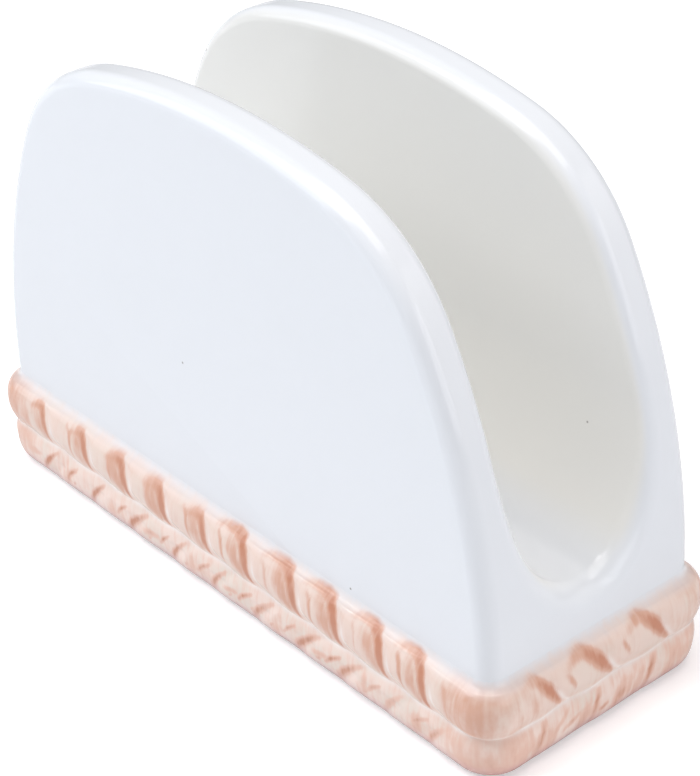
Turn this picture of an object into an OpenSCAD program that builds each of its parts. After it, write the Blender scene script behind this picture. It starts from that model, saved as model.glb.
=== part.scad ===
// Napkin holder in white glazed earthenware: two arched walls on a hollow plinth, with a rounded
// trough between them for upright napkins, and two courses of moulded rope round the foot.
// +X runs along the walls, the front wall faces -Y, and the origin is under the middle of the foot.

/* [Body] */
// Length of the white body, over its ends
body_l = 137.5; // [110:0.5:180]
// Depth of the white body, over both walls
body_d = 48; // [38:0.5:70]
// Thickness of each upright wall
wall_t = 8.1; // [4:0.1:10]
// Rise of the arched top above the rope band
arch_rise = 80.3; // [60:0.1:110]
// Part of the arch's rise that the curve of its ends takes up, below the shoulders
side_rise_share = 0.74; // [0.5:0.001:0.85]
// Angle through which that curve turns before the shoulder starts
side_turn = 27.8; // [15:0.1:32]
// Radius of the shoulders, as a share of the largest that fits below the crown
shoulder_share = 0.87; // [0.5:0.001:0.95]
// Radius of the outer edges at the foot
foot_edge_r = 3.5; // [1:0.1:4]
// Radius of the outer edges at the crown
crown_edge_r = 2.6; // [1:0.1:4]
// Radius of the inner edges at the crown
inner_edge_r = 2.5; // [0.5:0.1:3]

/* [Napkin trough] */
// Height of the trough's lowest line above the rope band
floor_rise = 9.2; // [7:0.1:20]
// Height over which the trough's rounded bottom turns up into the walls
bottom_h = 27.5; // [20:0.1:48]
// Thickness of the trough's clay
trough_t = 5; // [3:0.25:6]
// Radius of the lip at each end of the trough
lip_r = 3.5; // [1:0.1:4.5]

/* [Plinth] */
// Thickness of the end walls below the trough
end_t = 5; // [3:0.25:7]
// Thickness of the plate that closes the plinth
plate_t = 4.5; // [3:0.25:6]
// Diameter of the vent hole in the plate
vent_d = 5; // [3:0.5:10]
// Height of the unglazed foot ring
foot_h = 1; // [0.6:0.1:3]
// Width of the foot ring
foot_w = 4.5; // [3:0.25:8]
// How far the foot ring is set in from the body's sides
foot_inset = 1.2; // [0.6:0.1:3]

/* [Rope band] */
// Height of the lower rope course
lower_h = 8.6; // [5:0.1:12]
// Height of the upper rope course
upper_h = 8.7; // [6:0.1:14]
// How far the rope stands proud of the body
rope_proud = 3.25; // [2:0.05:5]
// Length of rope that one strand takes up
strand_pitch = 12; // [8:0.25:20]
// Sideways reach of a strand between the edges of its course
strand_reach = 9; // [3:0.25:12]

/* [Hidden] */

glaze_white = [0.93, 0.95, 0.97];
glaze_inside = [0.89, 0.89, 0.87];
bisque = [0.86, 0.80, 0.72];
rope_peach = [0.90, 0.74, 0.66];
rope_rose = [0.87, 0.68, 0.60];

half_l = body_l / 2;
half_d = body_d / 2;
slot_half = half_d - wall_t;
band_top = foot_h + lower_h + upper_h;
crown_z = band_top + arch_rise;
slot_low = band_top + floor_rise;
slot_turn = slot_low + bottom_h;
overrun = wall_t;
corner_r = foot_edge_r;

// Radii and centres of the arch's three curves, and where the shoulder passes into the crown
side_rise = side_rise_share * arch_rise;
side_r = side_rise / sin(side_turn);
shoulder_r = shoulder_share * (arch_rise - side_rise) / (1 - sin(side_turn));
side_x = half_l - side_r;
shoulder_x = side_x + (side_r - shoulder_r) * cos(side_turn);
shoulder_z = band_top + (side_r - shoulder_r) * sin(side_turn);
crown_turn = 90 - 2 * atan((crown_z - shoulder_r - shoulder_z) / shoulder_x);
crown_r = shoulder_r + shoulder_x / cos(crown_turn);

side_steps = 6;
shoulder_steps = 10;
crown_steps = 5;
edge_steps = 4;
trough_steps = 20;
lip_steps = 4;
end_rows = 6;

// How deep the valley between two strands is, as a share of the rope's own depth
valley_share = 0.3;
// How deep the rope still is at the edges of its course, as a share of its full depth
rope_edge_share = 0.14;
// Where the rings of a strand lie, as shares of its pitch
ring_shares = [0, 0.13, 0.35, 0.65, 0.87];
// Heights of the points round the rope's section, as shares of the course's height
section_shares = [0, 0.04, 0.14, 0.3, 0.5, 0.7, 0.86, 0.96, 1];
// How fast a strand's valley steepens in the middle of the course, as a share
swing_share = 0.75;
// Part of the arch over which the inner edge's rounding comes in, as a share of the arch's rise
inner_edge_share = 0.15;
// Least width left between the outer and the inner rounding, as a share of the wall
rim_flat_share = 0.03;

function between(x, low, high) = min(max(x, low), high);
function ramp(x) = between(x, 0, 1);

// Closed solid between two grids of points with as many rows and columns
module between_grids(outer, inner) {
    rows = len(outer);
    cols = len(outer[0]);
    points = concat([for (row = outer) each row], [for (row = inner) each row]);
    back = rows * cols;
    function at(r, c) = r * cols + c;
    outer_faces = [for (r = [0 : rows - 2], c = [0 : cols - 2])
        each [[at(r, c), at(r + 1, c), at(r + 1, c + 1)], [at(r, c), at(r + 1, c + 1), at(r, c + 1)]]];
    inner_faces = [for (f = outer_faces) [f[2] + back, f[1] + back, f[0] + back]];
    rim = concat([for (c = [0 : cols - 2]) at(0, c)],
                 [for (r = [0 : rows - 2]) at(r, cols - 1)],
                 [for (c = [cols - 1 : -1 : 1]) at(rows - 1, c)],
                 [for (r = [rows - 1 : -1 : 1]) at(r, 0)]);
    rim_faces = [for (i = [0 : len(rim) - 1])
        let (a = rim[i], b = rim[(i + 1) % len(rim)])
        each [[a, b, b + back], [a, b + back, a + back]]];
    polyhedron(points, concat(outer_faces, inner_faces, rim_faces));
}

// Closed solid through rings of points that lie in planes at its two ends
module loft(rings) {
    count = len(rings[0]);
    last = (len(rings) - 1) * count;
    points = [for (ring = rings) each ring];
    sides = [for (r = [0 : len(rings) - 2], i = [0 : count - 1])
        let (a = r * count + i, b = r * count + (i + 1) % count)
        each [[a, b, b + count], [a, b + count, a + count]]];
    near_cap = [for (i = [count - 1 : -1 : 0]) i];
    far_cap = [for (i = [0 : count - 1]) last + i];
    polyhedron(points, concat([near_cap], sides, [far_cap]));
}

// Share of the arch's rise at a height
function rise_share(z) = ramp((z - band_top) / arch_rise);

// Half length of the body at a height, along the arch
function arch_x(z) =
    z <= band_top ? half_l
    : z <= band_top + side_rise ? side_x + sqrt(pow(side_r, 2) - pow(z - band_top, 2))
    : z <= shoulder_z + shoulder_r * sin(crown_turn)
        ? shoulder_x + sqrt(pow(shoulder_r, 2) - pow(z - shoulder_z, 2))
        : sqrt(max(0, pow(crown_r, 2) - pow(z - crown_z + crown_r, 2)));

// Directions in which the arch faces, from 0 at its right spring to 180 at its left one
right_turns = concat([for (i = [0 : side_steps - 1]) side_turn * i / side_steps],
                     [for (i = [0 : shoulder_steps - 1])
                         side_turn + (crown_turn - side_turn) * i / shoulder_steps],
                     [for (i = [0 : crown_steps]) crown_turn + (90 - crown_turn) * i / crown_steps]);
half_steps = len(right_turns) - 1;
arch_turns = concat([for (i = [0 : half_steps]) 180 - right_turns[i]],
                    [for (i = [half_steps - 1 : -1 : 0]) right_turns[i]]);
arch_steps = len(arch_turns) - 1;

// Point of the arch that faces in a direction, drawn in by inset
function arch_point(turn, inset) =
    let (t = min(turn, 180 - turn), side = turn > 90 ? -1 : 1,
         curve = t < side_turn ? [side_x, band_top, side_r]
                 : t < crown_turn ? [shoulder_x, shoulder_z, shoulder_r]
                 : [0, crown_z - crown_r, crown_r])
    [side * (curve[0] + (curve[2] - inset) * cos(t)), curve[1] + (curve[2] - inset) * sin(t)];

// Height of the trough's surface across the slot
function trough_z(y) = slot_turn - bottom_h * sqrt(max(0, 1 - pow(y / slot_half, 2)));

// One outline of a wall at a step through its thickness: step 0 is the outer face
function wall_ring(step) =
    [for (i = [0 : arch_steps + 2])
        let (on_arch = i <= arch_steps,
             turn = on_arch ? arch_turns[i] : (i == arch_steps + 1 ? 0 : 180),
             share = on_arch ? rise_share(arch_point(turn, 0)[1]) : 0,
             start = rise_share(slot_turn),
             outer_r = min(foot_edge_r + (crown_edge_r - foot_edge_r) * share,
                           wall_t * (1 - 2 * rim_flat_share)),
             inner_r = min(inner_edge_r * ramp((share - start) / inner_edge_share),
                           wall_t * (1 - rim_flat_share) - outer_r),
             outside = step <= edge_steps,
             angle = 90 * (outside ? step : 2 * edge_steps + 1 - step) / edge_steps,
             r = outside ? outer_r : inner_r,
             inset = r * (1 - sin(angle)),
             depth = r * (1 - cos(angle)),
             y = outside ? half_d - depth : slot_half + depth,
             p = arch_point(turn, inset))
        [p[0], y, on_arch ? p[1] : foot_h]];

module wall() {
    loft([for (step = [0 : 2 * edge_steps + 1]) wall_ring(step)]);
}

module front_wall() {
    color(glaze_white) mirror([0, 1, 0]) wall();
}

module back_wall() {
    color(glaze_white) wall();
}

// Place across the slot of column i, closer together near the walls
function slot_y(i) = slot_half * sin(180 * i / trough_steps - 90);

// How far the lip falls away at a distance in from the end of the trough
function lip_drop(inset) = lip_r - sqrt(lip_r * lip_r - pow(max(0, lip_r - inset), 2));

// One line of the trough, over the slot's width, at a distance in from the end
function trough_line(side, inset, under) =
    [for (i = [0 : trough_steps])
        let (y = slot_y(i),
             lean = cos(180 * i / trough_steps - 90),
             z = trough_z(y) - (under ? trough_t : lip_drop(inset) * lean))
        [side * (arch_x(z) - inset), y, z]];

function lip_inset(step) = lip_r * (1 - cos(90 * step / lip_steps));

// Lines of the trough from its left end to its right end
function trough_grid(under) =
    concat([for (step = [0 : lip_steps]) trough_line(-1, lip_inset(step), under)],
           [for (step = [lip_steps : -1 : 0]) trough_line(1, lip_inset(step), under)]);

module napkin_trough() {
    color(glaze_inside) between_grids(trough_grid(true), trough_grid(false));
}

// Face of an end wall, from the foot to the underside of the trough
function end_grid(inset) =
    [for (row = [0 : end_rows])
        [for (i = [0 : trough_steps])
            let (y = slot_y(i),
                 z = foot_h + (trough_z(y) - trough_t - foot_h) * row / end_rows)
            [arch_x(z) - inset, y, z]]];

module end_wall() {
    between_grids(end_grid(end_t), end_grid(0));
}

module right_end_wall() {
    color(glaze_white) end_wall();
}

module left_end_wall() {
    color(glaze_white) mirror([1, 0, 0]) end_wall();
}

module base_plate() {
    plate_l = 2 * (half_l - end_t);
    color(bisque) difference() {
        translate([-plate_l / 2, -slot_half, foot_h]) cube([plate_l, 2 * slot_half, plate_t]);
        translate([0, 0, foot_h - overrun]) cylinder(h = plate_t + 2 * overrun, d = vent_d, $fn = 48);
    }
}

// Rectangle with round corners, centred on the origin
module round_rect(l, d, r) {
    square([l - 2 * r, d], center = true);
    square([l, d - 2 * r], center = true);
    for (x = [-1, 1], y = [-1, 1])
        translate([x * (l / 2 - r), y * (d / 2 - r)]) circle(r = r, $fn = 48);
}

module foot_ring() {
    ring_l = body_l - 2 * foot_inset;
    ring_d = body_d - 2 * foot_inset;
    color(bisque) linear_extrude(foot_h) difference() {
        round_rect(ring_l, ring_d, foot_w);
        square([ring_l - 2 * foot_w, ring_d - 2 * foot_w], center = true);
    }
}

// Depth of the rope at a share of its height, fullest in the middle
function rope_swell(q) =
    rope_edge_share + (1 - rope_edge_share) * pow(max(0, 1 - pow(abs(2 * q - 1), 2.4)), 0.5);

// Sideways shift of a strand at a share of the height: steep in the middle, flat at both edges
function strand_shift(q) = strand_reach * (q - 0.5 + swing_share * sin(360 * q) / 360 * 180 / PI);

// Point of a rope length. place is [distance along, angle round the corner], out is how far from the body
function rope_point(place, out, z, straight, side_d) =
    let (side = place[0] < 0 ? -1 : 1, on_corner = place[1] > 0,
         reach = corner_r + out)
    on_corner
        ? [side * (straight + reach * sin(place[1])),
           -(side_d - corner_r) - reach * cos(place[1]), z]
        : [place[0], -side_d - out, z];

// Grid of one rope length: its swelling face where face is true, and else its flat back
function rope_grid(side_l, side_d, low, high, lean, face) =
    let (straight = side_l - corner_r,
         count = max(1, round(2 * straight / strand_pitch)),
         pitch = 2 * straight / count,
         shares = [for (n = [0 : count - 1]) each [for (k = ring_shares) n + k]],
         // the plain corners and one ring at each end of the straight stretch
         rings = concat([[-straight, 45, 0], [-straight, 22.5, 0], [-straight, 0, 0]],
                        [for (k = shares) if (k > 0) [k * pitch - straight, 0, k % 1]],
                        [[straight, 0, 0], [straight, 22.5, 0], [straight, 45, 0]]))
    [for (ring = rings)
        [for (q = section_shares)
            let (from_end = straight - abs(ring[0]),
                 fade = ramp(from_end / pitch),
                 valley = fade * pow(1 - sin(180 * ring[2]), 1.4),
                 out = face ? rope_proud * rope_swell(q) * (1 - valley_share * valley) : 0,
                 s = ring[0] + lean * fade * strand_shift(q))
            rope_point([s, ring[1]], out, low + (high - low) * q, straight, side_d)]];

// One length of rope, mitred at the corners. turn is the side of the body that it lies on
module rope_length(turn, low, high, lean) {
    across = turn % 180 == 90;
    side_l = across ? half_d : half_l;
    side_d = across ? half_l : half_d;
    rotate([0, 0, turn])
        between_grids(rope_grid(side_l, side_d, low, high, lean, false),
                      rope_grid(side_l, side_d, low, high, lean, true));
}

module upper_rope(turn) {
    color(rope_peach) rope_length(turn, foot_h + lower_h, band_top, -1);
}

module lower_rope(turn) {
    color(rope_rose) rope_length(turn, foot_h, foot_h + lower_h, 1);
}

module front_upper_rope() { upper_rope(0); }
module right_upper_rope() { upper_rope(90); }
module back_upper_rope() { upper_rope(180); }
module left_upper_rope() { upper_rope(270); }
module front_lower_rope() { lower_rope(0); }
module right_lower_rope() { lower_rope(90); }
module back_lower_rope() { lower_rope(180); }
module left_lower_rope() { lower_rope(270); }

front_wall();
back_wall();
napkin_trough();
left_end_wall();
right_end_wall();
base_plate();
foot_ring();
front_upper_rope();
right_upper_rope();
back_upper_rope();
left_upper_rope();
front_lower_rope();
right_lower_rope();
back_lower_rope();
left_lower_rope();
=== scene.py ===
import math
import bmesh
import bpy
import numpy as np
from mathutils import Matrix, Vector, noise


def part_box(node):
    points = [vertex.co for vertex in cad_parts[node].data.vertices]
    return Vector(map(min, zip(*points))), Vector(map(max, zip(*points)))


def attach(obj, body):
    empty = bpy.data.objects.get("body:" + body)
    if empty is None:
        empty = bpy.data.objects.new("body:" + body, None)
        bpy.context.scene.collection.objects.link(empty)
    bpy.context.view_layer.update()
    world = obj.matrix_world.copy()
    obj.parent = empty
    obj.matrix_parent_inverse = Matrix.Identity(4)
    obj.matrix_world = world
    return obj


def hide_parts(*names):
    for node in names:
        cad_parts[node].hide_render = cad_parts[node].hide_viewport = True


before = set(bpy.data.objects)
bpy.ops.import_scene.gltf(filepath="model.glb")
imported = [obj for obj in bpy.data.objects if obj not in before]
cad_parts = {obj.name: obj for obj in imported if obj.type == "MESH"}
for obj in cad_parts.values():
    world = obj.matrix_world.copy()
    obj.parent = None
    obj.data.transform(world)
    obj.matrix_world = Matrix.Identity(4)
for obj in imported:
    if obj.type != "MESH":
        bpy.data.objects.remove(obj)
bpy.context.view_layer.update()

# Napkin holder in cast earthenware under a clear gloss glaze, with a painted rope band.
# Lengths are in metres, as Blender keeps them, and mm turns a size in millimetres into them.
mm = 0.001
closeBy = 0.01 * mm    # heights and depths nearer than this count as the same
weldGap = 0.002 * mm   # corners nearer than this are joined

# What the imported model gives: the walls, the trough and the two rope courses
wallLow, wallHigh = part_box("back_wall")
troughLow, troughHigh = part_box("napkin_trough")
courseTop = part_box("front_upper_rope")[1].z
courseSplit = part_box("front_lower_rope")[1].z
ropeReach = -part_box("front_upper_rope")[0].y


# Small helpers

def deselectAll():
    if bpy.context.object and bpy.context.object.mode != "OBJECT":
        bpy.ops.object.mode_set(mode="OBJECT")
    bpy.ops.object.select_all(action="DESELECT")


def activate(piece):
    deselectAll()
    piece.select_set(True)
    bpy.context.view_layer.objects.active = piece


# Select in edit mode the vertices, edges or faces that pass the test
def pick(piece, kind, test):
    bpy.ops.object.mode_set(mode="EDIT")
    bpy.ops.mesh.select_mode(type=kind)
    bpy.ops.mesh.select_all(action="DESELECT")
    mesh = bmesh.from_edit_mesh(piece.data)
    for part in {"VERT": mesh.verts, "EDGE": mesh.edges, "FACE": mesh.faces}[kind]:
        if test(part):
            part.select_set(True)
    mesh.select_flush_mode()
    bmesh.update_edit_mesh(piece.data)


def applyModifier(piece, kind, **settings):
    activate(piece)
    modifier = piece.modifiers.new(kind.title(), kind)
    for name, value in settings.items():
        setattr(modifier, name, value)
    bpy.ops.object.modifier_apply(modifier=modifier.name)


def near(a, b):
    return abs(a - b) < closeBy


def smoothStep(low, high, x):
    t = np.clip((x - low) / (high - low), 0, 1)
    return t * t * (3 - 2 * t)


# White body: one skin over both walls, the trough and the end walls

clay = 5 * mm   # thickness of the trough's floor and of the plinth's walls
body = {
    "halfLength": wallHigh.x,
    "halfDepth": wallHigh.y,
    "slotHalf": wallLow.y,
    "foot": wallLow.z,
    "crown": wallHigh.z,
    "bandTop": courseTop,
    "slotTurn": troughHigh.z,          # height at which the slot's walls turn into the trough
    "slotLow": troughLow.z + clay,
    "sideRiseShare": 0.74,             # part of the arch's rise that the curve of its ends takes up
    "sideTurn": 27.8,                  # degrees through which that curve turns
    "shoulderShare": 0.87,             # radius of the shoulders, as a share of the largest that fits
    "archStations": 46,
    "lipStations": 30,
    "edgeSteps": 9,                    # rings round the outer edge
    "endSteps": 7,                     # rings across the end face
    "rimSteps": 9,                     # rings round the rim and the lip
    "footEdge": 3.5 * mm,              # outer edge just above the rope
    "crownEdge": 2.6 * mm,             # outer edge at the crown
    "hiddenEdge": 5.2 * mm,            # outer edge behind the lower rope
    "hiddenFull": 6 * mm,              # that edge holds up to this height
    "hiddenGone": 15 * mm,             # and has changed into the one above by this height
    "rimEdge": 2.5 * mm,               # inner edge round the arch
    "lipEdge": 4.4 * mm,               # lip at the lowest point of the trough's ends
    "lipFrom": 0.1,                    # radians round the trough's end where the lip begins
    "lipFull": 0.95,                   # and where it has its full radius
    "turnBlend": 3 * mm,               # drop below the slot's turn that lays the end face on the arch
    "spreadPower": 1.25,               # these three space the lip's stations down the outer edge
    "spreadHeld": 0.25,
    "spreadHeldPower": 6,
    "plinthHollow": 13 * mm,
}


# Centre and radius of the arch's three curves, and the angles at which one passes into the next
def archCurves():
    rise = body["crown"] - body["bandTop"]
    turn = math.radians(body["sideTurn"])
    sideRise = body["sideRiseShare"] * rise
    side = sideRise / math.sin(turn)
    shoulder = body["shoulderShare"] * (rise - sideRise) / (1 - math.sin(turn))
    sideX = body["halfLength"] - side
    shoulderX = sideX + (side - shoulder) * math.cos(turn)
    shoulderZ = body["bandTop"] + (side - shoulder) * math.sin(turn)
    crownTurn = math.pi / 2 - 2 * math.atan((body["crown"] - shoulder - shoulderZ) / shoulderX)
    crown = shoulder + shoulderX / math.cos(crownTurn)
    return {"side": (sideX, body["bandTop"], side), "shoulder": (shoulderX, shoulderZ, shoulder),
            "crown": (0, body["crown"] - crown, crown), "turns": (turn, crownTurn)}


arch = archCurves()


# Half length of the body at a height, and the direction that its end faces there
def archAt(z):
    if z <= body["bandTop"]:
        return body["halfLength"], 0.0
    turn, crownTurn = arch["turns"]
    for name, top in (("side", turn), ("shoulder", crownTurn), ("crown", math.pi / 2)):
        x, low, r = arch[name]
        if z <= low + r * math.sin(top):
            break
    angle = math.asin(min((z - low) / r, 1))
    return x + r * math.cos(angle), angle


# Places down the front of the arch, from the crown to the slot's turn, evenly spaced
def archPlaces():
    turn, crownTurn = arch["turns"]
    low = archAt(body["slotTurn"])[1]
    spans = [("crown", math.pi / 2, crownTurn), ("shoulder", crownTurn, turn), ("side", turn, low)]
    lengths = [(a - b) * arch[name][2] for name, a, b in spans]
    places = []
    for i in range(body["archStations"] + 1):
        gone = sum(lengths) * i / body["archStations"]
        for (name, a, b), length in zip(spans, lengths):
            if gone <= length + 1e-9:   # a hair more, for rounding
                break
            gone -= length
        x, z, r = arch[name]
        angle = a - gone / r
        places.append((x + r * math.cos(angle), z + r * math.sin(angle), angle))
    return places


# Rounding between two faces that meet at a point, from the first face round to the second
def roundedEdge(point, first, second, radius, steps):
    centre = point - (first + second) * (radius / (1 + first.dot(second)))
    full = first.angle(second)
    around = []
    for i in range(steps):
        angle = full * i / (steps - 1)
        way = (first * math.sin(full - angle) + second * math.sin(angle)) / math.sin(full)
        around.append(centre + way * radius)
    return around


# One station of the body: places from the outer face, over the edge and the rim, to the slot
def bodySection(outer, outerAngle, inner, innerAngle, slotWay, edge, rim):
    front = Vector((0, -1, 0))
    facing = lambda angle: Vector((math.cos(angle), 0, math.sin(angle)))
    start = roundedEdge(outer, front, facing(outerAngle), edge, body["edgeSteps"])
    end = roundedEdge(inner, facing(innerAngle), slotWay, rim, body["rimSteps"])
    middle = []
    for i in range(1, body["endSteps"] + 1):
        share = i / (body["endSteps"] + 1)
        place = start[-1].lerp(end[0], share)
        if place.z < body["slotTurn"]:
            bend = min((body["slotTurn"] - place.z) / body["turnBlend"], 1)
            place.x += (archAt(place.z)[0] - place.x) * bend
        middle.append(place)
    return start + middle + end


# Radius of the outer edge at a height
def outerEdge(z):
    share = (z - body["bandTop"]) / (body["crown"] - body["bandTop"])
    edge = body["footEdge"] + (body["crownEdge"] - body["footEdge"]) * max(share, 0)
    hidden = 1 - float(smoothStep(body["hiddenFull"], body["hiddenGone"], z))
    return edge + (body["hiddenEdge"] - edge) * hidden


# Stations from the front crown to the middle of the right end
def bodyQuarter():
    depth, slot, turn = body["halfDepth"], body["slotHalf"], body["slotTurn"]
    drop = turn - body["slotLow"]
    held = body["spreadHeld"]
    stations = []
    for x, z, angle in archPlaces():
        stations.append(bodySection(Vector((x, -depth, z)), angle, Vector((x, -slot, z)), angle,
                                    Vector((0, 1, 0)), outerEdge(z), body["rimEdge"]))
    for i in range(1, body["lipStations"] + 1):
        phi = math.pi / 2 * i / body["lipStations"]   # round the trough's end, down to its floor
        across, down = math.cos(phi), math.sin(phi)
        innerZ = turn - drop * down
        spread = 1 - held + held * down ** body["spreadHeldPower"]
        outerZ = turn - (turn - body["foot"]) * down ** body["spreadPower"] * spread
        outerX, outerAngle = archAt(outerZ)
        innerX, innerAngle = archAt(innerZ)
        slotWay = Vector((0, across * drop, down * slot)).normalized()
        lip = float(smoothStep(body["lipFrom"], body["lipFull"], phi))
        rim = body["rimEdge"] + (body["lipEdge"] - body["rimEdge"]) * lip
        stations.append(bodySection(Vector((outerX, -depth, outerZ)), outerAngle,
                                    Vector((innerX, -slot * across, innerZ)), innerAngle,
                                    slotWay, outerEdge(outerZ), rim))
    return stations


# The closed ring that one quarter gives by mirroring
def allRound(quarter):
    right = quarter + [Vector((p.x, -p.y, p.z)) for p in reversed(quarter)]
    left = [Vector((-p.x, p.y, p.z)) for p in reversed(right)]
    return right + left[1:-1]


# A flat grid whose rows are laid along rings, with a last column on top of the first
def layRings(name, rings):
    deselectAll()
    bpy.ops.mesh.primitive_grid_add(x_subdivisions=len(rings[0]), y_subdivisions=len(rings) - 1,
                                    size=2 * body["halfLength"])
    piece = bpy.context.object
    piece.name = name
    places = np.array([[tuple(p) for p in list(ring) + [ring[0]]] for ring in rings])
    piece.data.vertices.foreach_set("co", places.ravel())
    return piece


# Join a skin where its ends meet, and leave it in edit mode with all of it selected
def weld(piece):
    activate(piece)
    bpy.ops.object.mode_set(mode="EDIT")
    bpy.ops.mesh.select_all(action="SELECT")
    bpy.ops.mesh.remove_doubles(threshold=weldGap)


def makeBody():
    stations = bodyQuarter()
    rings = [allRound([station[k] for station in stations]) for k in range(len(stations[0]))]
    piece = layRings("glazedBody", rings)
    weld(piece)

    # Fill the two faces, the trough, the inner walls and the underside
    depth, slot, foot = body["halfDepth"], body["slotHalf"], body["foot"]
    turn = stations[body["archStations"]][-1].z
    placeOf = lambda p: tuple(round(c / mm, 2) for c in p)
    rim = {placeOf(p) for p in rings[-1]}
    inScoop = lambda v: placeOf(v.co) in rim and v.co.z < turn + closeBy
    overScoop = lambda v: placeOf(v.co) in rim and v.co.z > turn - closeBy
    onFoot = lambda v: near(v.co.z, foot)
    for side in (-1, 1):
        pick(piece, "VERT", lambda v: near(v.co.y, side * depth))
        bpy.ops.mesh.edge_face_add()
    pick(piece, "EDGE", lambda e: e.is_boundary and all(inScoop(v) for v in e.verts))
    bpy.ops.mesh.bridge_edge_loops()
    for side in (-1, 1):
        pick(piece, "VERT", lambda v: near(v.co.y, side * slot) and overScoop(v))
        bpy.ops.mesh.edge_face_add()
    pick(piece, "EDGE", lambda e: e.is_boundary and all(onFoot(v) for v in e.verts))
    bpy.ops.mesh.edge_face_add()

    # The plinth is hollow, and from front to back its hollow is as wide as the slot
    pick(piece, "FACE", lambda f: all(onFoot(v) for v in f.verts))
    bpy.ops.mesh.inset(thickness=clay, use_boundary=True)
    bpy.ops.transform.resize(value=(1, slot / (depth - clay), 1), center_override=(0, 0, foot))
    bpy.ops.mesh.extrude_region_move(TRANSFORM_OT_translate={"value": (0, 0, body["plinthHollow"])})
    bpy.ops.mesh.select_all(action="SELECT")
    bpy.ops.mesh.normals_make_consistent(inside=False)
    bpy.ops.object.mode_set(mode="OBJECT")
    bpy.ops.object.shade_smooth()
    applyModifier(piece, "WEIGHTED_NORMAL", mode="FACE_AREA", weight=50)
    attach(piece, "root")
    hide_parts("front_wall", "back_wall", "napkin_trough", "left_end_wall", "right_end_wall")
    return piece


# Rope courses: each is a skin whose rings are laid round the body's foot. Glaze fills the groove
# between the two, and the corner between the upper one and the wall.

rope = {
    "ringStep": 0.36 * mm,
    "cornerRings": 18,
    "faceRows": 32,
    "sunk": 0.5 * mm,          # how far the back goes into the body
    "sectionPower": 2.2,
    "pastSection": -0.3,       # keeps the section under the glaze where it has run out
    "blend": 1.0 * mm,         # softness where the rope meets the glaze beside it
    "grooveOut": 2.1 * mm,     # how far glaze stands out in the groove between the courses,
    "bottomOut": 0.9 * mm,     # at the lower course's foot
    "coveOut": 1.5 * mm,       # and in the corner over the upper course
    "coveHeight": 3.4 * mm,
    "coveOverlap": 0.5 * mm,   # it begins this far below the course's top
    "covePower": 2.2,
    "coveFeather": 0.8,
    "coveSunk": 0.14 * mm,     # its end goes this far under the body's skin
    "crestFrom": 0.2,          # a strand rises to its crest up to this share of its width,
    "crestTo": 0.4,            # keeps it up to this one
    "crestFall": 0.85,         # and loses this much of it by the next hollow
    "strandGap": 12 * mm,      # between hollows beyond the last one on a side
    "cornerFade": 7 * mm,      # strands smooth out towards the corners
    "wander": 0.24 * mm,       # how far the groove strays up and down past the strands
    "wanderReach": 2.2 * mm,
    "lumps": 0.14 * mm,
    "lumpSize": mm / 0.17,     # 5.9 mm
    "highlightAt": 0.05,            # place and width of the painted highlight beside a hollow, in shares
    "highlightWidth": 0.034,        # of a strand
    "highlightFull": -0.3,          # levels on the course between which it dies out
    "highlightGone": 0.6,
    "patchMean": 0.72,         # the groove's painted highlight comes stronger and weaker
    "patchSwing": 0.5,
    "patchSize": mm / 0.26,    # 3.8 mm
}

# In each course, "hollows" are where those between strands cross the middle of the long sides
# and the ends, in mm from the side's centre. "runs" say how far a hollow has gone sideways in mm
# at the course's top edge: the steady part, and the part that comes as a bend near the edges.
# "brushwork" gives the place in mm and the strength of every mark of a shape.

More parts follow.
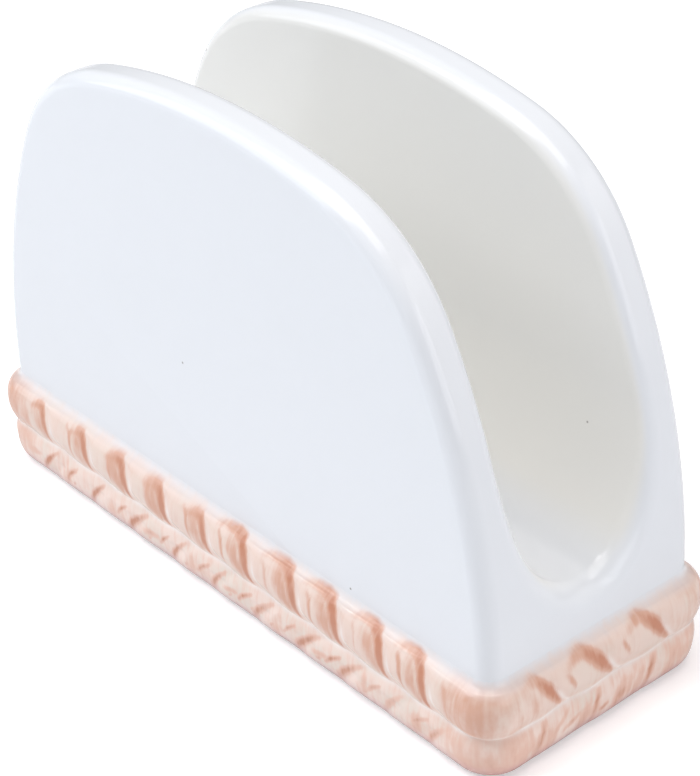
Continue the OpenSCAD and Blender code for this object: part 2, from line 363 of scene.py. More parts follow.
upperCourse = {
    "name": "upperRopeCourse",
    "nodes": ["front_upper_rope", "right_upper_rope", "back_upper_rope", "left_upper_rope"],
    "low": courseSplit,
    "high": courseTop,
    "corner": body["footEdge"],
    "proud": ropeReach - body["halfDepth"],
    "fullest": 0.5,            # height of its fullest line, as a share of its own
    "above": 0.35 * mm,        # its section runs this far past its top
    "below": 0.35 * mm,        # and past its bottom
    "glazeAbove": rope["coveOut"],
    "glazeBelow": rope["grooveOut"],
    "coveRows": 9,
    "relief": 0.13,            # depth of the hollow between strands, as a share of the rope's depth
    "hollows": {
        "long": [-66.2, -53.4, -39.6, -26.9, -14.8, -2.0, 10.3, 23.5, 34.8, 46.7, 57.2],
        "end": [-11.8, 0.2, 13.6],
    },
    "runs": {"long": (-0.3, -3.3), "end": (-2.5, -0.9)},
    "crisp": 0.55,             # brush marks end faster on their right side, as a share
    "paintedHighlight": 1.0,               # strength of the painted highlight beside each hollow
    "grooveHighlight": 0.4 * mm,    # half width of the painted highlight in the groove
    "cornerWash": 1.0,         # thin paint that covers the corners,
    "washLoss": 0.6,           # the share of it that is missing towards the ends
    "endWash": 0.0,            # and what lies all along the ends
    "thin": "#F0D8CC",
    "middle": "#DFAF99",
    "bareShare": 0.3,
    "least": 0.05,             # depth of paint where no mark lies
    "mottle": 0.3,             # how much blots and bristle lines break up the paint,
    "uneven": 0.55,            # and how much more they do where it is deep
    "rose": 0.0,               # share of a pinker wash along its foot
    "brushwork": {
        "long": {
            "stub": [(-54.6, 0.85), (-40.7, 0.9), (-27.9, 0.95), (-15.7, 0.9), (-3.1, 0.85)],
            "hood": [(9.1, 1.0), (22.4, 0.9), (33.7, 0.95), (45.6, 1.0), (56.1, 1.0)],
            "veil": [(-54.6, 0.6), (-40.7, 0.8), (-27.9, 1.1), (-15.7, 1.1), (-3.1, 0.8), (9.1, 0.9),
                     (22.4, 1.1), (33.7, 0.9), (45.6, 0.8), (56.1, 0.7)],
            "trace": [(-45.5, 0.9), (-32.5, 0.8), (-8.0, 0.7), (2.5, 0.9), (15.0, 0.5), (27.3, 0.8),
                      (39.1, 0.5), (50.8, 1.0), (62.0, 0.7)],
            "shade": [(-61.0, 1.2), (-20.1, 1.0), (19.2, 1.0), (66.0, 1.5)],
        },
        "end": {
            "slope": [(-12.4, 0.8), (-0.8, 0.84), (12.8, 0.84)],
            "nick": [(-20.3, 0.8), (-8.1, 0.8), (4.8, 0.7)],
            "dash": [(-9.8, 1.0), (-2.6, 0.8), (1.9, 1.0), (10.6, 0.8), (15.2, 1.0)],
            "shade": [(-16.5, 0.8)],
        },
    },
}

lowerCourse = {
    "name": "lowerRopeCourse",
    "nodes": ["front_lower_rope", "right_lower_rope", "back_lower_rope", "left_lower_rope"],
    "low": body["foot"],
    "high": courseSplit,
    "corner": 5.0 * mm,
    "proud": 2.85 * mm,
    "fullest": 0.62,
    "above": 0.35 * mm,
    "below": 0.5 * mm,
    "glazeAbove": rope["grooveOut"],
    "glazeBelow": rope["bottomOut"],
    "coveRows": 0,
    "relief": 0.16,
    "hollows": {
        "long": [-63.8, -51.2, -38.1, -24.9, -12.1, 0.2, 13.0, 25.5, 36.8, 48.3, 59.6],
        "end": [-14.4, -1.2, 12.2],
    },
    "runs": {"long": (4.0, 0.3), "end": (1.6, 0.3)},
    "crisp": 0.9,
    "paintedHighlight": 0.0,
    "grooveHighlight": 0.55 * mm,
    "cornerWash": 0.9,
    "washLoss": 0.0,
    "endWash": 0.12,
    "thin": "#F8E2D7",         # these tones are painted thinner than the upper course's, and lightened further as painted light for the shade this downward-facing course lies in
    "middle": "#EDC5B3",
    "bareShare": 0.55,
    "least": 0.09,
    "mottle": 0.5,
    "uneven": 0.1,
    "rose": 0.45,
    "brushwork": {
        "long": {
            "comma": [(-64.5, 1.0), (-54.7, 1.15), (-47.2, 0.8), (-38.7, 1.1), (-25.5, 1.1), (-12.6, 1.0),
                      (-0.4, 1.0), (12.4, 0.9), (24.9, 1.0), (36.2, 0.9), (47.7, 0.55), (58.9, 0.8)],
            "fleck": [(-46.8, 1.1), (-30.1, 0.9), (-16.4, 0.9), (-4.4, 0.8), (7.8, 1.0), (20.5, 0.8),
                      (32.4, 1.0), (43.1, 0.7), (54.6, 0.7)],
            "speck": [(-46.0, 0.8), (-21.0, 0.8), (-9.5, 0.8), (3.5, 0.8), (9.5, 0.9), (15.6, 1.0),
                      (28.5, 0.9), (41.0, 0.9)],
            "patch": [(-49.0, 0.5), (-33.5, 0.5), (-8.3, 0.5), (17.1, 0.5), (40.2, 0.5), (53.5, 0.6),
                      (64.5, 0.9)],
            "smear": [(-61.5, 1.2), (-59.5, 0.8), (-20.8, 0.9), (3.5, 0.9), (29.0, 0.9)],
        },
        "end": {
            "streak": [(-14.6, 1.2), (-1.6, 0.9), (6.4, 0.4), (11.4, 1.0), (20.4, 0.7)],
            "patch": [(-18.6, 0.7), (-12.5, 0.6), (-4.5, 0.6), (3.8, 1.0), (8.6, 0.6), (16.6, 1.2),
                      (22.0, 0.9)],
            "comma": [(-11.2, 0.5)],
            "smear": [(-7.7, 0.8)],
            "speck": [(0.2, 1.2)],
        },
    },
}

# Shapes of the brush marks as points along each: sideways place in mm, level on the course
# from -1 at its bottom to 1 at its top, half width in mm and depth of paint
marks = {
    "hood": [(-8.0, 0.98, 0.6, 0.12), (-5.5, 1.10, 0.75, 0.40), (-3.2, 1.08, 0.9, 0.66),
             (-1.5, 0.88, 1.1, 0.80), (-0.5, 0.52, 1.2, 0.88), (-0.1, 0.10, 1.25, 1.0),
             (0.0, -0.25, 1.2, 1.0), (0.3, -0.60, 0.85, 0.9), (0.9, -0.88, 0.45, 0.7),
             (1.6, -1.02, 0.25, 0.45)],
    "stub": [(-4.6, 0.60, 1.1, 0.26), (-2.8, 0.78, 1.2, 0.46), (-1.3, 0.72, 1.25, 0.68),
             (-0.4, 0.42, 1.3, 0.90), (-0.1, 0.05, 1.3, 1.0), (0.0, -0.25, 1.2, 1.0),
             (0.3, -0.60, 0.85, 0.9), (0.9, -0.88, 0.45, 0.7), (1.6, -1.02, 0.25, 0.45)],
    "veil": [(-3.8, 0.7, 1.5, 0.22), (-3.0, 0.3, 2.1, 0.36), (-2.2, -0.2, 2.1, 0.40),
             (-1.2, -0.65, 1.3, 0.32)],
    "trace": [(-1.2, 0.75, 0.5, 0.2), (-0.2, 0.45, 0.6, 0.5), (0.0, 0.0, 0.6, 0.6),
              (0.1, -0.4, 0.45, 0.45), (0.3, -0.75, 0.3, 0.25)],
    "shade": [(-0.8, 0.5, 1.4, 0.10), (0.0, 0.0, 1.7, 0.22), (0.3, -0.5, 1.4, 0.22)],
    "slope": [(-7.2, 0.60, 0.8, 0.14), (-5.4, 0.86, 0.9, 0.30), (-3.6, 0.90, 1.1, 0.52),
              (-2.0, 0.62, 1.35, 0.80), (-0.6, 0.26, 1.5, 1.0), (0.8, -0.15, 1.3, 1.0),
              (1.9, -0.55, 0.9, 0.8), (2.5, -0.85, 0.5, 0.5)],
    "nick": [(-0.9, 0.45, 0.6, 0.25), (-0.2, 0.2, 0.75, 0.5), (0.6, -0.1, 0.6, 0.4),
             (1.0, -0.4, 0.4, 0.2)],
    "dash": [(-0.9, -1.04, 0.30, 0.6), (0.9, -1.04, 0.30, 0.6)],
    "comma": [(-3.1, -0.84, 0.6, 0.25), (-2.4, -0.54, 0.85, 0.56), (-1.3, -0.18, 0.9, 0.74),
              (0.1, 0.16, 0.8, 0.68), (1.7, 0.46, 0.6, 0.5), (3.2, 0.70, 0.45, 0.25)],
    "fleck": [(-1.7, -0.20, 0.4, 0.4), (-0.6, 0.12, 0.55, 0.68), (0.6, 0.34, 0.5, 0.6),
              (1.8, 0.52, 0.4, 0.35)],
    "speck": [(-0.5, -0.35, 0.4, 0.45), (0.4, -0.18, 0.4, 0.35)],
    "streak": [(-1.1, -0.80, 0.9, 0.25), (-0.5, -0.3, 1.0, 0.55), (0.2, 0.25, 0.95, 0.72),
               (0.7, 0.7, 0.7, 0.35)],
    "patch": [(-0.6, -0.5, 1.5, 0.5), (0.3, -0.1, 1.6, 0.55), (0.8, 0.4, 1.1, 0.3)],
    "smear": [(-2.2, -0.15, 0.7, 0.25), (0.0, 0.02, 0.8, 0.5), (2.2, 0.12, 0.6, 0.25)],
}
brush = {
    "samples": 5,              # for each point of a mark
    "full": 0.15,              # from full paint to none, in half widths from the mark's line
    "gone": 1.4,
    "sizeSwing": 0.14,         # marks of one shape differ in size by this share,
    "sizeStep": 5.1,           # with the sine of their place
}


# The larger of two lengths, with a soft passage from one to the other
def softMax(a, b, blend):
    h = np.clip(0.5 + 0.5 * (a - b) / blend, 0, 1)
    return b + (a - b) * h + blend * h * (1 - h)


# Places round the body: point, outward way, side, place along it and distance from a corner
def ropePlaces(radius):
    halves = (body["halfLength"], body["halfDepth"]) * 2
    places = []
    for side in range(4):
        straight = halves[side] - radius
        out = halves[(side + 1) % 4]
        count = round(2 * straight / rope["ringStep"])
        local = [(-straight + 2 * straight * i / count, 0.0) for i in range(count)]
        local += [(straight, math.pi / 2 * i / rope["cornerRings"]) for i in range(rope["cornerRings"])]
        for along, turn in local:
            x = along + radius * math.sin(turn)
            y = -(out - radius) - radius * math.cos(turn)
            c, s = math.cos(math.pi / 2 * side), math.sin(math.pi / 2 * side)
            nx, ny = math.sin(turn), -math.cos(turn)
            places.append((c * x - s * y, s * x + c * y, c * nx - s * ny, s * nx + c * ny, side,
                           along + turn * radius, straight - abs(along) if turn == 0 else 0.0))
    return np.array(places)


# Place along a side counted in strands, so that each whole number is a hollow
def strandsAlong(course, kind, along):
    lines = np.array(course["hollows"][kind]) * mm
    gap = rope["strandGap"]
    lines = np.concatenate([[lines[0] - gap], lines, lines[-1] + np.array([1, 2]) * gap])
    return np.interp(along, lines, np.arange(len(lines)))


# Soft noise at places of one height, from -1 to 1
def noiseRound(x, y, z, size):
    return np.array([noise.noise((px / size, py / size, z / size)) for px, py in zip(x, y)])


# Depth of brushed paint along a side at one level, from 0 to about 1
def brushDepth(course, kind, along, level):
    halfHeight = (course["high"] - course["low"]) / 2
    depth = np.zeros(len(along))
    for shape, spots in course["brushwork"][kind].items():
        points = np.array(marks[shape])
        share = np.linspace(0, len(points) - 1, brush["samples"] * len(points))
        line = [np.interp(share, np.arange(len(points)), points[:, k]) for k in range(4)]
        for middle, strength in spots:
            size = 1 + brush["sizeSwing"] * math.sin(brush["sizeStep"] * middle)
            for beside, height, width, paintDepth in zip(*line):
                width *= size
                up = (level - height) * halfHeight / mm / width
                if abs(up) < brush["gone"]:
                    away = (along / mm - middle - size * beside) / width
                    away = np.where(away > 0, away / course["crisp"], away)
                    cover = 1 - smoothStep(brush["full"], brush["gone"], np.hypot(away, up))
                    depth = np.maximum(depth, strength * paintDepth * cover)
    return depth


def makeRope(course):
    low, high = course["low"], course["high"]
    middle = low + course["fullest"] * (high - low)
    above, below = high - middle + course["above"], middle - low + course["below"]
    power = rope["sectionPower"]
    x, y, nx, ny, side, along, fromCorner = ropePlaces(course["corner"]).T
    kinds = (("long", side % 2 == 0), ("end", side % 2 == 1))
    fade = smoothStep(0, rope["cornerFade"], fromCorner)
    heights = [low + (high - low) * (1 - math.cos(math.pi * j / rope["faceRows"])) / 2
               for j in range(rope["faceRows"] + 1)]
    heights += [high + rope["coveHeight"] * (j + 1) / course["coveRows"] for j in range(course["coveRows"])]

    # Both courses follow the groove, which wanders up and down past the upper one's strands
    wander = np.zeros(len(x))
    for kind, here in kinds:
        wander[here] = np.sin(2 * math.pi * strandsAlong(upperCourse, kind, along[here]))
    wander *= rope["wander"] * fade
    patchy = rope["patchMean"] + rope["patchSwing"] * noiseRound(x, y, 0, rope["patchSize"])
    wash = course["cornerWash"] * (1 - fade) * (1 - course["washLoss"] * nx ** 2)
    wash = np.maximum(wash, course["endWash"] * nx ** 2)

    rings, values = [], {"stroke": [], "paintedHighlight": [], "wash": [], "along": []}
    for z in heights:
        u = (z - middle) / (above if z > middle else below)
        shape = (1 - abs(u) ** power) ** (1 / power) if abs(u) < 1 else rope["pastSection"]
        level = 2 * (z - low) / (high - low) - 1
        held = min(max(level, -1), 1)
        crest, stroke, paintedHighlight = np.ones(len(x)), np.zeros(len(x)), np.zeros(len(x))
        for kind, here in kinds:
            steady, bend = course["runs"][kind]
            sideways = (steady * held + bend * held ** 3) * mm
            f = strandsAlong(course, kind, along[here] - sideways) % 1
            fall = rope["crestFall"] * smoothStep(rope["crestTo"], 1, f)
            crest[here] = smoothStep(0, rope["crestFrom"], f) * (1 - fall)
            stroke[here] = brushDepth(course, kind, along[here], level)
            # The pale line beside each hollow is a painted highlight on the strand's edge
            paintedHighlight[here] = course["paintedHighlight"] * np.exp(-((f - rope["highlightAt"]) / rope["highlightWidth"]) ** 2)
        paintedHighlight *= 1 - float(smoothStep(rope["highlightFull"], rope["highlightGone"], held))

        # The strands stand out of the glaze that lies above and below them
        rise = (z - high + rope["coveOverlap"]) / rope["coveHeight"] if course["coveRows"] else 0
        rise = min(max(rise, 0), 1)
        fill = course["glazeBelow"]
        if z > middle:
            fill = course["glazeAbove"] * (1 - rise) ** rope["covePower"]
        lump = noiseRound(x, y, z, rope["lumpSize"]) * rope["lumps"]
        out = course["proud"] * shape * (1 - fade * course["relief"] * (1 - crest)) + lump * max(shape, 0)
        out = softMax(out, fill, rope["blend"])
        if course["coveRows"] and z > high:
            thinned = float(smoothStep(0, rope["coveHeight"], z - high)) ** rope["coveFeather"]
            out = out * (1 - thinned) - rope["coveSunk"] * rise
        lifted = z + wander * math.exp(-((z - courseSplit) / rope["wanderReach"]) ** 2)
        rings.append(np.stack([x + nx * out, y + ny * out, lifted], 1))

        # The groove's pale line is a painted highlight too, stronger and weaker in patches
        groove = math.exp(-((z - courseSplit) / course["grooveHighlight"]) ** 2)
        values["stroke"].append(stroke * fade)
        values["paintedHighlight"].append(np.maximum(paintedHighlight * fade, groove * patchy))
        values["wash"].append(wash)
        values["along"].append(along)

    # The back lies inside the body, and a last ring on the first one closes the skin
    for z in (heights[-1], (heights[0] + heights[-1]) / 2, heights[0]):
        rings.append(np.stack([x - nx * rope["sunk"], y - ny * rope["sunk"], np.full(len(x), z)], 1))
        for rows in values.values():
            rows.append(np.zeros(len(x)))
    piece = layRings(course["name"], rings + rings[:1])
    for label, rows in values.items():
        numbers = np.array([np.append(row, row[0]) for row in rows + rows[:1]]).ravel()
        attribute = piece.data.attributes.new(label, "FLOAT", "POINT")
        attribute.data.foreach_set("value", numbers)
    weld(piece)
    bpy.ops.mesh.normals_make_consistent(inside=False)
    bpy.ops.object.mode_set(mode="OBJECT")
    bpy.ops.object.shade_smooth()
    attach(piece, "root")
    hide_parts(*course["nodes"])
    return piece


# Materials

# An sRGB hex value as the linear colour that Blender wants
def hexColour(text):
    parts = [int(text[i:i + 2], 16) / 255 for i in (1, 3, 5)]
    return [p / 12.92 if p <= 0.04045 else ((p + 0.055) / 1.055) ** 2.4 for p in parts] + [1.0]


def newMaterial(name):
    material = bpy.data.materials.new(name)
    material.use_nodes = True
    material.node_tree.nodes.clear()
    return material


# A node with its settings, whose inputs are values, other nodes or their outputs. A colour Mix
# takes its share at 0 and its two colours at 6 and 7.
def addNode(tree, kind, inputs=None, **settings):
    node = tree.nodes.new("ShaderNode" + kind)
    for key, value in settings.items():
        setattr(node, key, value)
    for key, value in (inputs or {}).items():
        if isinstance(value, bpy.types.Node):
            value = next(socket for socket in value.outputs if socket.enabled)
        if isinstance(value, bpy.types.NodeSocket):
            tree.links.new(value, node.inputs[key])
        else:
            node.inputs[key].default_value = value
    return node


def dress(piece, material):
    piece.data.materials.clear()
    piece.data.materials.append(material)


glaze = {
    "outside": "#EEF1F6",
    "inside": "#F4F3EF",       # warmer on the slot's inner walls: painted warm bounce light between the walls
    "cloud": "#E6EAEE",
    "cloudSize": 30 * mm,
    "cloudShare": 0.2,
    "roughness": 0.14,
    "index": 1.5,
    "waveSize": 11 * mm,
    "waveHeight": 0.10 * mm,
    "waveStrength": 0.25,
    "slotFull": 0.4 * mm,      # the inside's painted bounce tint is full up to this far short of the wall
    "slotGone": 2 * mm,        # and gone this far into it, round the rim
    "floorGone": 27 * mm,      # heights at which it begins and is full
    "floorFull": 34 * mm,
    "endFull": 0.3,            # endways part of a face's normal up to which it is full
    "endGone": 0.8,            # and from which it is gone
    "pinhole": "#77716B",      # a speck where a bubble left the clay bare
    "pinholeShare": 0.8,
    "pinholeGap": 11 * mm,
    "pinholeSize": 0.3 * mm,
    "pinholeCore": 0.4,        # part of its radius that has its full colour
}


# White glaze over white clay, cooler outside; the slot's inner walls get a warmer tint, painted bounce
# light between the walls that face each other
def glazeWhite(tree, place):
    xyz = addNode(tree, "SeparateXYZ", {0: place})
    facing = addNode(tree, "SeparateXYZ", {0: addNode(tree, "TexCoord").outputs["Normal"]})
    cloud = addNode(tree, "TexNoise", {"Vector": place, "Scale": 1 / glaze["cloudSize"], "Detail": 2.0})
    fromMiddle = addNode(tree, "Math", {0: xyz.outputs["Y"]}, operation="ABSOLUTE")
    between = addNode(tree, "MapRange", {"Value": fromMiddle, "To Min": 1.0, "To Max": 0.0,
                                         "From Min": body["slotHalf"] - glaze["slotFull"],
                                         "From Max": body["slotHalf"] + glaze["slotGone"]},
                      interpolation_type="SMOOTHSTEP")
    above = addNode(tree, "MapRange", {"Value": xyz.outputs["Z"], "From Min": glaze["floorGone"],
                                       "From Max": glaze["floorFull"]}, interpolation_type="SMOOTHSTEP")
    endways = addNode(tree, "Math", {0: facing.outputs["X"]}, operation="ABSOLUTE")
    level = addNode(tree, "MapRange", {"Value": endways, "From Min": glaze["endFull"],
                                       "From Max": glaze["endGone"], "To Min": 1.0, "To Max": 0.0},
                    interpolation_type="SMOOTHSTEP")
    # Where the painted bounce light lies: between the walls, above the trough's floor, on faces that do not
    # look endways
    inside = addNode(tree, "Math", {0: between, 1: above}, operation="MULTIPLY")
    inside = addNode(tree, "Math", {0: inside, 1: level}, operation="MULTIPLY")
    white = addNode(tree, "Mix", {0: inside, 6: hexColour(glaze["outside"]), 7: hexColour(glaze["inside"])},
                    data_type="RGBA")
    drift = addNode(tree, "Math", {0: cloud, 1: glaze["cloudShare"]}, operation="MULTIPLY")
    white = addNode(tree, "Mix", {0: drift, 6: white, 7: hexColour(glaze["cloud"])}, data_type="RGBA")
    speck = addNode(tree, "TexVoronoi", {"Vector": place, "Scale": 1 / glaze["pinholeGap"]})
    reach = glaze["pinholeSize"] / glaze["pinholeGap"]
    speck = addNode(tree, "MapRange", {"Value": speck, "From Min": glaze["pinholeCore"] * reach,
                                       "From Max": reach, "To Min": glaze["pinholeShare"], "To Max": 0.0})
    return addNode(tree, "Mix", {0: speck, 6: white, 7: hexColour(glaze["pinhole"])}, data_type="RGBA")


# The glaze surface dips and swells a little over the clay
def glazeWave(tree, place):
    wave = addNode(tree, "TexNoise", {"Vector": place, "Scale": 1 / glaze["waveSize"], "Detail": 1.0})
    return addNode(tree, "Bump", {"Strength": glaze["waveStrength"], "Distance": glaze["waveHeight"],
                                  "Height": wave})


def bodyMaterial():
    # White earthenware under clear gloss glaze, dipped: a wet, even shine over slightly wavy clay
    material = newMaterial("clearGlazedEarthenware")
    tree = material.node_tree
    place = addNode(tree, "TexCoord").outputs["Object"]
    shader = addNode(tree, "BsdfPrincipled", {"Base Color": glazeWhite(tree, place),
                                              "Roughness": glaze["roughness"], "IOR": glaze["index"],
                                              "Normal": glazeWave(tree, place)})
    addNode(tree, "OutputMaterial", {"Surface": shader})
    return material


paint = {
    "deep": "#CC8A6D",
    "rose": "#D9A3A6",
    "bare": "#E9DED2",         # clay showing where the brush went lightly
    "line": "#FDF3EE",         # painted highlight along the glaze-filled groove and beside each hollow
    "highlightShare": 0.95,
    "roughness": 0.16,
    "bristleGap": 0.9 * mm,
    "bristleSquash": 0.16,     # heights shrink to this share, which draws the bristle lines out
    "bristleShare": 1.1,
    "blotSize": 3.2 * mm,
    "blotShare": 0.9,
    "cloudSize": 9 * mm,
    "washShare": 0.5,
    "middleFull": 0.42,        # depths of paint at which the middle tone is full,
    "deepFrom": 0.35,          # the deep one begins
    "deepFull": 0.95,          # and is full
    "bareFrom": 0.45,          # values of the clouds between which bare clay comes through
    "bareFull": 0.62,
    "roseFull": 0.6 * mm,      # heights over the foot between which the pinker wash dies out
    "roseGone": 3.2 * mm,
    "featherFrom": 0.1 * mm,   # heights over the upper course between which its paint dies out,
    "featherTo": 3.4 * mm,
    "featherBristle": 0.9 * mm,   # how far bristle lines and blots move that edge
    "featherBlot": 1.4 * mm,
    "featherHeld": 0.8,        # and how much of it a brush stroke holds back
}


def ropeMaterial(name, course):
    # Peach underglaze brushed over moulded clay: thin on the crests, deep in the brush's strokes
    material = newMaterial(name)
    tree = material.node_tree
    place = addNode(tree, "TexCoord").outputs["Object"]
    stroke, paintedHighlight, wash, along = [addNode(tree, "Attribute", attribute_name=label).outputs["Fac"]
                                 for label in ("stroke", "paintedHighlight", "wash", "along")]
    height = addNode(tree, "SeparateXYZ", {0: place}).outputs["Z"]
    # Bristle lines run up and down the rope
    squashed = addNode(tree, "Math", {0: height, 1: paint["bristleSquash"]}, operation="MULTIPLY")
    onRope = addNode(tree, "CombineXYZ", {"X": along, "Y": squashed})
    bristle = addNode(tree, "TexNoise", {"Vector": onRope, "Scale": 1 / paint["bristleGap"], "Detail": 2.0})
    blot = addNode(tree, "TexNoise", {"Vector": place, "Scale": 1 / paint["blotSize"], "Detail": 3.0})
    cloud = addNode(tree, "TexNoise", {"Vector": place, "Scale": 1 / paint["cloudSize"], "Detail": 2.0})

    # Depth of the paint: strokes and washes, broken up by blots and bristle lines
    corner = addNode(tree, "Math", {0: wash, 1: cloud}, operation="MULTIPLY")
    depth = addNode(tree, "Math", {0: corner, 1: paint["washShare"], 2: stroke}, operation="MULTIPLY_ADD")
    mean = -(paint["blotShare"] + paint["bristleShare"]) / 2
    rough = addNode(tree, "Math", {0: blot, 1: paint["blotShare"], 2: mean}, operation="MULTIPLY_ADD")
    rough = addNode(tree, "Math", {0: bristle, 1: paint["bristleShare"], 2: rough},
                    operation="MULTIPLY_ADD")
    weight = addNode(tree, "Math", {0: depth, 1: course["uneven"], 2: course["mottle"]},
                     operation="MULTIPLY_ADD")
    depth = addNode(tree, "Math", {0: depth, 1: course["least"]})
    depth = addNode(tree, "Math", {0: rough, 1: weight, 2: depth}, operation="MULTIPLY_ADD", use_clamp=True)

    # Its colour, from bare clay and thin paint to the deep tone
    bare = addNode(tree, "MapRange", {"Value": cloud, "From Min": paint["bareFrom"],
                                      "From Max": paint["bareFull"], "To Max": course["bareShare"]},
                   interpolation_type="SMOOTHSTEP")
    first = addNode(tree, "MapRange", {"Value": depth, "From Min": 0.0, "From Max": paint["middleFull"]},
                    interpolation_type="SMOOTHSTEP")
    second = addNode(tree, "MapRange", {"Value": depth, "From Min": paint["deepFrom"],
                                        "From Max": paint["deepFull"]}, interpolation_type="SMOOTHSTEP")
    colour = addNode(tree, "Mix", {0: bare, 6: hexColour(course["thin"]), 7: hexColour(paint["bare"])},
                     data_type="RGBA")
    colour = addNode(tree, "Mix", {0: first, 6: colour, 7: hexColour(course["middle"])}, data_type="RGBA")
    colour = addNode(tree, "Mix", {0: second, 6: colour, 7: hexColour(paint["deep"])}, data_type="RGBA")
    if course["rose"]:
        rose = addNode(tree, "MapRange", {"Value": height, "From Min": course["low"] + paint["roseFull"],
                                          "From Max": course["low"] + paint["roseGone"],
                                          "To Min": course["rose"], "To Max": 0.0},
                       interpolation_type="SMOOTHSTEP")
        colour = addNode(tree, "Mix", {0: rose, 6: colour, 7: hexColour(paint["rose"])}, data_type="RGBA")
    # Pale colour mixed in as a painted highlight along the groove and beside each hollow
    line = addNode(tree, "Math", {0: paintedHighlight, 1: paint["highlightShare"]}, operation="MULTIPLY")
    colour = addNode(tree, "Mix", {0: line, 6: colour, 7: hexColour(paint["line"])}, data_type="RGBA")

    # The upper course's paint feathers out into the white above it
    if course["coveRows"]:
        edge = addNode(tree, "Math", {0: bristle, 1: paint["featherBristle"], 2: height},
                       operation="MULTIPLY_ADD")
        edge = addNode(tree, "Math", {0: blot, 1: paint["featherBlot"], 2: edge}, operation="MULTIPLY_ADD")
        clear = addNode(tree, "MapRange", {"Value": edge, "From Min": course["high"] + paint["featherFrom"],
                                           "From Max": course["high"] + paint["featherTo"]},
                        interpolation_type="SMOOTHSTEP")
        clear = addNode(tree, "Math", {0: stroke, 1: -paint["featherHeld"], 2: clear},
                        operation="MULTIPLY_ADD", use_clamp=True)
        colour = addNode(tree, "Mix", {0: clear, 6: colour, 7: glazeWhite(tree, place)}, data_type="RGBA")
    shader = addNode(tree, "BsdfPrincipled", {"Base Color": colour, "Roughness": paint["roughness"],
                                              "IOR": glaze["index"], "Normal": glazeWave(tree, place)})
    addNode(tree, "OutputMaterial", {"Surface": shader})
    return material


bisque = {
    "light": "#E6DFD4",
    "dark": "#D8CFC1",
    "grainSize": 0.8 * mm,
    "grainHeight": 0.08 * mm,
    "grainStrength": 0.4,
    "roughness": 0.85,
    "index": 1.5,
}


def bisqueMaterial():
    # Unglazed fired clay on the foot: dry and matt with a fine grain
    material = newMaterial("bisqueClay")
    tree = material.node_tree
    place = addNode(tree, "TexCoord").outputs["Object"]
    grain = addNode(tree, "TexNoise", {"Vector": place, "Scale": 1 / bisque["grainSize"], "Detail": 4.0})
    colour = addNode(tree, "Mix", {0: grain, 6: hexColour(bisque["light"]), 7: hexColour(bisque["dark"])},
                     data_type="RGBA")
    bump = addNode(tree, "Bump", {"Strength": bisque["grainStrength"], "Distance": bisque["grainHeight"],
                                  "Height": grain})
    shader = addNode(tree, "BsdfPrincipled", {"Base Color": colour, "Roughness": bisque["roughness"],
                                              "IOR": bisque["index"], "Normal": bump})
    addNode(tree, "OutputMaterial", {"Surface": shader})
    return material


# Camera, floor and light

view = {
    "azimuth": 51.44,      # degrees from the front towards the right end
    "elevation": 31.86,
    "distance": 409.2 * mm,
    "aim": (2.5 * mm, 0, 36.3 * mm),
    "roll": -3.0,
    "lens": 105.0,         # lens and sensor are in mm, as Blender's camera has them
    "sensor": 36,
    "shift": 0.024,
    "nearest": 10 * mm,
    "farthest": 10,
}


def makeCamera():
    az, el = math.radians(view["azimuth"]), math.radians(view["elevation"])
    back = Vector((math.sin(az) * math.cos(el), -math.cos(az) * math.cos(el), math.sin(el)))
    camera = bpy.data.objects.new("camera", bpy.data.cameras.new("camera"))
    bpy.context.scene.collection.objects.link(camera)
    camera.location = Vector(view["aim"]) + back * view["distance"]
    camera.rotation_euler = back.to_track_quat("Z", "Y").to_matrix().to_euler()
    camera.rotation_euler.rotate_axis("Z", math.radians(view["roll"]))
    camera.data.lens = view["lens"]
    camera.data.sensor_width = view["sensor"]
    camera.data.shift_x = view["shift"]
    camera.data.clip_start = view["nearest"]
    camera.data.clip_end = view["farthest"]
    bpy.context.scene.camera = camera


def makeLamp(name, place, aim, size, watts, colour):
    lamp = bpy.data.objects.new(name, bpy.data.lights.new(name, "AREA"))
    bpy.context.scene.collection.objects.link(lamp)
    lamp.data.shape = "RECTANGLE"
    lamp.data.size, lamp.data.size_y = size
    lamp.data.energy = watts
    lamp.data.color = hexColour(colour)[:3]
    lamp.location = place
    lamp.rotation_euler = (Vector(place) - Vector(aim)).to_track_quat("Z", "Y").to_euler()


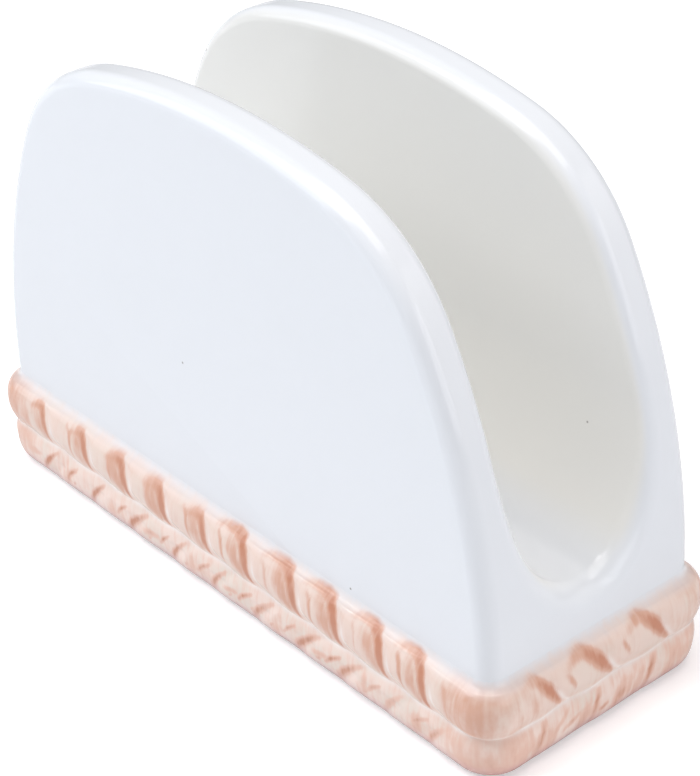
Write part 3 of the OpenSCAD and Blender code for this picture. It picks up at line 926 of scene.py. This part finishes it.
studio = {
    "floorSize": 6,
    "floorColour": "#F4F5F7",
    "floorGlow": 0.35,         # what the camera alone sees on top of the floor's own light
    "backdrop": 1.0,           # white, and for the camera alone
    "roomColour": "#F4F7FC",
    "roomLight": 0.21,
    "lampAim": (0, 0, 50 * mm),
    # Soft boxes: place and size in metres, watts and tint
    "softboxes": [
        ("topSoftbox", (0.0, 0.0, 1.1), (0.9, 0.9), 6.2, "#FFFAF5"),
        ("leftSoftbox", (-0.8, -0.8, 0.5), (0.8, 0.8), 3.7, "#F4F9FF"),
        ("backSoftbox", (1.15, 0.9, 0.65), (1.4, 1.4), 5.6, "#FFFBFA"),
        ("rightSoftbox", (1.3, 0.05, 0.5), (0.8, 0.8), 3.3, "#FAFBFF"),
        ("highSoftbox", (-0.4, -0.6, 1.0), (0.7, 0.7), 5.9, "#FAFCFF"),
    ],
}


def makeStudio():
    deselectAll()
    bpy.ops.mesh.primitive_plane_add(size=studio["floorSize"])
    floor = bpy.context.object
    floor.name = "floor"
    material = newMaterial("paperFloor")
    tree = material.node_tree
    seen = addNode(tree, "LightPath").outputs["Is Camera Ray"]
    paper = addNode(tree, "BsdfDiffuse", {"Color": hexColour(studio["floorColour"])})
    glow = addNode(tree, "Emission", {"Color": (1, 1, 1, 1), "Strength": studio["floorGlow"]})
    shown = addNode(tree, "MixShader", {0: seen, 2: glow})
    both = addNode(tree, "AddShader", {0: paper, 1: shown})
    addNode(tree, "OutputMaterial", {"Surface": both})
    dress(floor, material)

    world = bpy.data.worlds.new("studio")
    bpy.context.scene.world = world
    world.use_nodes = True
    tree = world.node_tree
    tree.nodes.clear()
    seen = addNode(tree, "LightPath").outputs["Is Camera Ray"]
    white = addNode(tree, "Background", {"Color": (1, 1, 1, 1), "Strength": studio["backdrop"]})
    soft = addNode(tree, "Background", {"Color": hexColour(studio["roomColour"]),
                                        "Strength": studio["roomLight"]})
    mix = addNode(tree, "MixShader", {0: seen, 1: soft, 2: white})
    addNode(tree, "OutputWorld", {"Surface": mix})
    for name, place, size, watts, tint in studio["softboxes"]:
        makeLamp(name, place, studio["lampAim"], size, watts, tint)
    bpy.context.scene.view_settings.view_transform = "Standard"


makeCamera()
makeStudio()
print("camera and studio ready")

glazedBody = makeBody()
print("body ready:", len(glazedBody.data.polygons), "faces")
upperRope = makeRope(upperCourse)
lowerRope = makeRope(lowerCourse)
print("ropes ready:", len(upperRope.data.polygons), len(lowerRope.data.polygons), "faces")

dress(glazedBody, bodyMaterial())
dress(upperRope, ropeMaterial("brushedUnderglazeUpper", upperCourse))
dress(lowerRope, ropeMaterial("brushedUnderglazeLower", lowerCourse))
bareClay = bisqueMaterial()
for nodeName in ("base_plate", "foot_ring"):
    dress(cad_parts[nodeName], bareClay)
print("materials ready")
